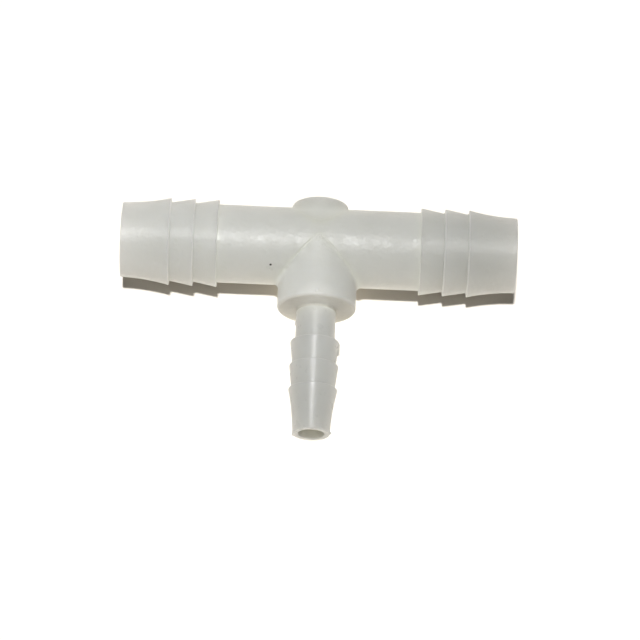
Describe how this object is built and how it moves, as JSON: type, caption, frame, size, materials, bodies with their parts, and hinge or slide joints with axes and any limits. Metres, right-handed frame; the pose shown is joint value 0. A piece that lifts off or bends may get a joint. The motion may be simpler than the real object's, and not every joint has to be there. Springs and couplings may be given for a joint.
{
  "type": "barbed tee connector",
  "caption": "Moulded reducing hose tee: two large barbed tails in line, one small barbed tail square to them, and a round blank boss opposite.",
  "frame": {"origin": "the point where the axis of the run's bore and the axis of the branch's bore cross", "axes": "+X along the run, towards the right hose tail; +Y towards the blank boss, so the small branch points along -Y; +Z square to both bores"},
  "size_m": [0.064, 0.0395, 0.0142],
  "materials": {
    "moulded_body": "natural undyed polypropylene, milky and slightly translucent, satin moulded skin"
  },
  "bodies": {
    "root": {"centre_body": "moulded_body", "left_hose_tail": "moulded_body", "right_hose_tail": "moulded_body", "branch_hub": "moulded_body", "branch_hose_tail": "moulded_body", "blank_boss": "moulded_body"}
  },
  "joints": []
}
